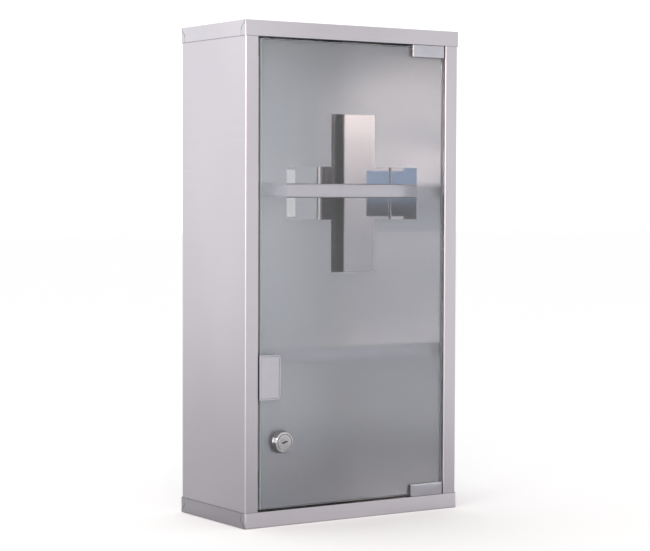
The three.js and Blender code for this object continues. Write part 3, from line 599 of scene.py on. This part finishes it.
# %% Lock rosette
SPIN_STEPS = 72
ROSETTE_HEIGHT = 5.7 * MM
ROSETTE_TAPER = 1.5 * MM
ROSETTE_ROUND = 0.8 * MM
ROUND_STEPS = 4
BARREL_RADIUS = 8 * MM
PLUG_CLEAR = 0.45 * MM
PLUG_STEP = 2.5 * MM
PLUG_NECK = 6.2 * MM
TURN_EASE = 0.12 * MM


def turned(section, centre):
    """Spins a closed half section of (radius, place along Y) points about an axis along Y."""
    mesh_data = bmesh.new()
    ring = [mesh_data.verts.new((centre.x + radius, y, centre.z)) for radius, y in section]
    edges = [mesh_data.edges.new((a, b)) for a, b in zip(ring, ring[1:] + ring[:1])]
    bmesh.ops.spin(mesh_data, geom=ring + edges, cent=centre, axis=(0, 1, 0), angle=2 * math.pi,
                   steps=SPIN_STEPS, use_merge=True)
    bmesh.ops.remove_doubles(mesh_data, verts=mesh_data.verts[:], dist=MERGE)
    bmesh.ops.recalc_face_normals(mesh_data, faces=mesh_data.faces[:])
    return mesh_data


low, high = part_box("lock_barrel")
plug_low, plug_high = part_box("lock_plug")
axis = (low + high) / 2
rim = (high.x - low.x) / 2
plug = (plug_high.x - plug_low.x) / 2 + PLUG_CLEAR
base = low.y + ROSETTE_HEIGHT
rosette = turned([
    (PLUG_NECK, high.y), (PLUG_NECK, low.y + PLUG_STEP), (plug, low.y + PLUG_STEP), (plug, low.y),
    (rim - ROSETTE_TAPER, low.y), (rim, base), (BARREL_RADIUS, base), (BARREL_RADIUS, high.y),
], axis)
crown = [e for e in sharp_edges(rosette) if all(abs(v.co.y - low.y) < MERGE for v in e.verts)]
outer = [e for e in crown if (e.verts[0].co - axis).xz.length > plug + TURN_EASE]
bevel_edges(rosette, outer, ROSETTE_ROUND, ROUND_STEPS)
bevel_edges(rosette, sharp_edges(rosette), TURN_EASE)
make_piece("lock_rosette", rosette, ["lock_barrel"], [chrome])

# %% [markdown]
# ## Small hardware
# The rest of the hardware keeps the shape of its solid. A copy is merged, its sharp edges are rounded
# by a width that suits the piece, and it takes its finish from the slot. Two pieces get more: an
# inset gives the strike plate's face a shallow border whose step is painted dark as shade, and the
# walls of the plug's keyway are painted dark as shade.

# %% Border and keyway
BORDER, BORDER_STEP = 1.2 * MM, 0.35 * MM
KEYWAY_REACH = 4.5 * MM
FACES_ALONG_AXIS = 0.5


def border_face(part):
    """Insets the frontmost face twice, the second time with a step down, and marks the step for a painted
    shade.
    """
    face = min(part.faces, key=lambda f: f.calc_center_median().y)
    bmesh.ops.inset_region(part, faces=[face], thickness=BORDER, use_even_offset=True)
    step = bmesh.ops.inset_region(part, faces=[face], thickness=BORDER_STEP, depth=-BORDER_STEP,
                                  use_even_offset=True)["faces"]
    for wall_face in step:
        wall_face.material_index = 1


def paint_keyway_shade(part):
    """Marks the faces near the lock's axis that run along it, the walls of the keyway, for a painted shade.
    """
    for face in part.faces:
        near_axis = (face.calc_center_median() - axis).xz.length < KEYWAY_REACH
        if near_axis and abs(face.normal.y) < FACES_ALONG_AXIS:
            face.material_index = 1


print("border and keyway helpers ready")

# %% Small hardware
EASE = {
    "hinge_clip": 0.25, "strike_plate": 0.55, "lock_plug": 0.15, "lock_nut": 0.3, "lock_cam": 0.25,
    "lock_gasket": 0.1, "latch_bracket": 0.15, "latch_housing": 0.35, "latch_plunger": 0.25,
    "latch_magnet": 0.2, "hinge_pad": 0.1, "strike_pad": 0.1, "hinge_pin": 0.12, "hinge_bush": 0.12,
    "lower_rail": 0.12, "upper_rail": 0.12, "back_panel": 0.12, "frosted_layer": 0.02,
}
# Painted shade: the border's step and the keyway walls take dark steel.
EXTRA_WORK = {"strike_plate": (border_face, painted_pocket_shade), "lock_plug": (paint_keyway_shade, painted_gap_shade)}

for node in sorted(BODY_OF):
    for stem, width in EASE.items():
        if node.startswith(stem):
            part = merged_copy(node)
            bevel_edges(part, sharp_edges(part), width * MM)
            finishes = [FINISH[SLOT_OF[node]]]
            if node in EXTRA_WORK:
                work, second_finish = EXTRA_WORK[node]
                work(part)
                finishes.append(second_finish)
            make_piece(node + "_eased", part, [node], finishes)

# %% [markdown]
# ## Screws
# Each screw gets a cross recess. Cutting planes split the flat end of the head into a grid, and the
# cells that form a cross are pushed in by an extrude. That leaves clean walls without a boolean.

# %% Cross recess
RECESS_WIDTH = 0.7 * MM
RECESS_DEPTH = 0.9 * MM
RECESS_SHARE = 0.5
LEVEL_WITH = 1e-7


def cross_recess(mesh_data, along, outwards):
    """Pushes a cross into the flat end of a screw's head. The axis is 0, 1 or 2 for x, y or z."""
    others = [i for i in range(3) if i != along]
    end = max(mesh_data.faces, key=lambda face: outwards * face.calc_center_median()[along])
    centre = end.calc_center_median()
    reach = RECESS_SHARE * max((v.co - centre).length for v in end.verts)
    level = centre[along]
    for axis_index in others:
        direction = Vector([float(i == axis_index) for i in range(3)])
        for step in (-reach, -RECESS_WIDTH / 2, RECESS_WIDTH / 2, reach):
            flat = [f for f in mesh_data.faces if all(abs(v.co[along] - level) < LEVEL_WITH for v in f.verts)]
            parts = flat + [e for f in flat for e in f.edges] + [v for f in flat for v in f.verts]
            bmesh.ops.bisect_plane(mesh_data, geom=list(set(parts)), dist=LEVEL_WITH,
                                   plane_co=centre + step * direction, plane_no=direction)
    cells = []
    for face in mesh_data.faces:
        offset = face.calc_center_median() - centre
        near = sorted(abs(offset[i]) for i in others)
        if abs(offset[along]) < LEVEL_WITH and near[0] < RECESS_WIDTH / 2 and near[1] < reach:
            cells.append(face)
    pushed = bmesh.ops.extrude_face_region(mesh_data, geom=cells)["geom"]
    bmesh.ops.delete(mesh_data, geom=cells, context="FACES")
    inwards = Vector([-outwards * RECESS_DEPTH if i == along else 0.0 for i in range(3)])
    floor_verts = [v for v in pushed if isinstance(v, bmesh.types.BMVert)]
    bmesh.ops.translate(mesh_data, vec=inwards, verts=floor_verts)


print("cross recess ready")

# %% Screws
ALONG_Y, ALONG_Z = 1, 2

for node in sorted(BODY_OF):
    if "screw" in node:
        screw = merged_copy(node)
        cross_recess(screw, ALONG_Z if node.startswith("latch") else ALONG_Y, 1)
        make_piece(node + "_crossed", screw, [node], [zinc])

# %% [markdown]
# ## Latch spring
# A coil is a small circle spun round an axis while it moves along it. The spin operator does both at
# once when it is given a step along the axis, so the whole spring is one call.

# %% Latch spring
WIRE_RADIUS = 0.45 * MM
WIRE_SIDES = 10
COIL_TURNS = 9
STEPS_A_TURN = 28

low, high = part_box("latch_spring")
centre = (low + high) / 2
coil_radius = (high.x - low.x) / 2 - WIRE_RADIUS
coil_length = high.y - low.y - 2 * WIRE_RADIUS
coil_steps = COIL_TURNS * STEPS_A_TURN
spring = bmesh.new()
start = Matrix.Translation((centre.x + coil_radius, low.y + WIRE_RADIUS, centre.z))
wire = bmesh.ops.create_circle(spring, cap_ends=True, segments=WIRE_SIDES, radius=WIRE_RADIUS, matrix=start)
bmesh.ops.spin(spring, geom=wire["verts"] + spring.edges[:] + spring.faces[:], cent=centre, axis=(0, -1, 0),
               dvec=(0, coil_length / coil_steps, 0), angle=2 * math.pi * COIL_TURNS, steps=coil_steps,
               use_merge=False)
bmesh.ops.recalc_face_normals(spring, faces=spring.faces[:])
print("latch spring", span(spring))
coil = make_piece("latch_spring_coil", spring, ["latch_spring"], [zinc])
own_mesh(coil)

# %% [markdown]
# ## Door glass
# The pane's edges are ground, so they look pale and matt beside the clear faces. The pane is a merged
# copy of its solid, with its hole for the lock, and its narrow faces take the ground finish.

# %% Door glass
GLASS_EASE = 0.12 * MM
FACES_THROUGH = 0.95

glass = merged_copy("door_glass")
bevel_edges(glass, sharp_edges(glass), GLASS_EASE, 1)
for face in glass.faces:
    face.material_index = 0 if abs(face.normal.y) > FACES_THROUGH else 1
make_piece("door_pane", glass, ["door_glass"], [pane_glass, ground_edge])

# %% [markdown]
# ## Floor
# A pale floor runs far past the object, so that no edge of it shows. Steel takes much of its tone from
# what lies in front of it, and a floor as white as the picture's ground would wash out the lower half
# of the cabinet. So the floor is white to the camera, and to all other rays it has a painted shadow, a
# soft grey pool near the object that the steel shows as shade. The pool lies behind and to the left,
# where the side of the cabinet sees it.

# %% Floor
FLOOR_HALF = 12.0
FLOOR_DROP = 0.1 * MM
FLOOR_SEEN = (0.86, 0.86, 0.865)
POOL_CENTRE = (-0.25, 0.23, 0.0)
POOL_NEAR, POOL_FAR = 0.4, 1.8
PAINTED_SHADOW_GREY, FLOOR_PALE = (0.46, 0.46, 0.47), (0.93, 0.93, 0.93)


def floor_finish():
    """A matt floor with a faint grain, white to the camera and to other rays greyer near the object, a
    painted shadow.
    """
    material, tree, shader = new_material("pale_floor")
    place = add_node(tree, "ShaderNodeTexCoord").outputs["Object"]
    distance = add_node(tree, "ShaderNodeVectorMath", operation="DISTANCE")
    tree.links.new(place, distance.inputs[0])
    distance.inputs[1].default_value = POOL_CENTRE
    # Painted shadow: grey near the object, shown to every ray but the camera's.
    pool = ranged(tree, distance.outputs["Value"], POOL_NEAR, POOL_FAR, 0.0, 1.0, "SMOOTHSTEP")
    seen = add_node(tree, "ShaderNodeLightPath").outputs["Is Camera Ray"]
    colour = mixed(tree, seen, tinted(tree, pool, PAINTED_SHADOW_GREY, FLOOR_PALE), FLOOR_SEEN)
    tree.links.new(colour, shader.inputs["Base Color"])
    tree.links.new(spread(tree, noise(tree, even(40.0)), 0.85, 0.95), shader.inputs["Roughness"])
    shader.inputs["Specular IOR Level"].default_value = 0.1
    return material


floor_mesh = bmesh.new()
bmesh.ops.create_grid(floor_mesh, x_segments=1, y_segments=1, size=FLOOR_HALF)
floor_data = bpy.data.meshes.new("floor")
floor_mesh.to_mesh(floor_data)
floor_mesh.free()
floor_data.materials.append(floor_finish())
floor = bpy.data.objects.new("floor", floor_data)
floor.location.z = solid_box[0].z - FLOOR_DROP
bpy.context.scene.collection.objects.link(floor)
print("floor:", 2 * FLOOR_HALF, "m")

# %% [markdown]
# ## World light
# The world gives an even light that is a little brighter behind the object on the left than in front
# on the right. A small part of it, behind the camera, is a dim studio: bluish above the horizon and
# almost black below. Mirrors need something dark to show, or they look like paint, and the polished
# inside behind the clear cross shows some of that part.

# %% World light
BRIGHT_SIDE = Vector((-0.51, 0.857, 0.0))
BRIGHT_RANGE = (0.98, 1.31)
DIM_EDGE, DIM_CORE, DIM_SHARE = 0.982, 0.997, 0.95
HORIZON_LOW, HORIZON_HIGH = -0.006, 0.003
WHITE = (1.0, 1.0, 1.0)
STUDIO_BELOW, STUDIO_ABOVE = (0.06, 0.063, 0.08), (0.52, 0.70, 0.98)

world = bpy.data.worlds.new("studio")
world.use_nodes = True
bpy.context.scene.world = world
world_tree = world.node_tree
direction = add_node(world_tree, "ShaderNodeTexCoord").outputs["Generated"]


def towards(heading, start, end, low, high):
    """A value that goes from low to high as a direction turns towards a heading."""
    along = add_node(world_tree, "ShaderNodeVectorMath", operation="DOT_PRODUCT")
    world_tree.links.new(direction, along.inputs[0])
    along.inputs[1].default_value = heading
    return ranged(world_tree, along.outputs["Value"], start, end, low, high, "SMOOTHSTEP")


lit = towards(BRIGHT_SIDE, -1.0, 1.0, *BRIGHT_RANGE)
dim = towards(-forward, DIM_EDGE, DIM_CORE, 0.0, DIM_SHARE)
above = towards(Vector((0, 0, 1)), HORIZON_LOW, HORIZON_HIGH, 0.0, 1.0)
studio = mixed(world_tree, above, STUDIO_BELOW, STUDIO_ABOVE)
background = world_tree.nodes["Background"]
world_tree.links.new(mixed(world_tree, dim, WHITE, studio), background.inputs["Color"])
world_tree.links.new(lit, background.inputs["Strength"])
bpy.context.scene.view_settings.view_transform = "Standard"
print("world nodes:", len(world_tree.nodes))

# %% [markdown]
# ## Softboxes
# Two area lights stand in front on the left. A narrow strip draws the bright line down the folded
# corner of the stile, and a warm box behind the camera gives the polished inside its warm glow.

# %% Softboxes
SOFTBOXES = {
    "left_strip": {"place": (-1.75, -1.0, 0.55), "width": 0.22, "height": 1.2, "power": 6.0, "colour": WHITE},
    "front_warm": {"place": (-1.2, -1.85, 0.80), "width": 0.8, "height": 0.5, "power": 15.0,
                   "colour": (1.0, 0.78, 0.65)},
}
target = (solid_box[0] + solid_box[1]) / 2

for name, box in SOFTBOXES.items():
    lamp = bpy.data.lights.new(name, "AREA")
    lamp.shape, lamp.color = "RECTANGLE", box["colour"]
    lamp.size, lamp.size_y, lamp.energy = box["width"], box["height"], box["power"]
    softbox = bpy.data.objects.new(name, lamp)
    softbox.location = box["place"]
    softbox.rotation_euler = (target - Vector(box["place"])).to_track_quat("-Z", "Y").to_euler()
    bpy.context.scene.collection.objects.link(softbox)
    print(name, lamp.size, "x", lamp.size_y, "m")

# %% [markdown]
# ## Light paths
# Light crosses the pane and the frost twice and bounces between polished walls. A path that is cut
# short brings back no light, which darkens the inside of the cabinet, so paths may be long.

# %% Light paths
cycles = bpy.context.scene.cycles
cycles.max_bounces = 24
cycles.glossy_bounces = 12
cycles.transmission_bounces = 24
print("bounces:", cycles.max_bounces)
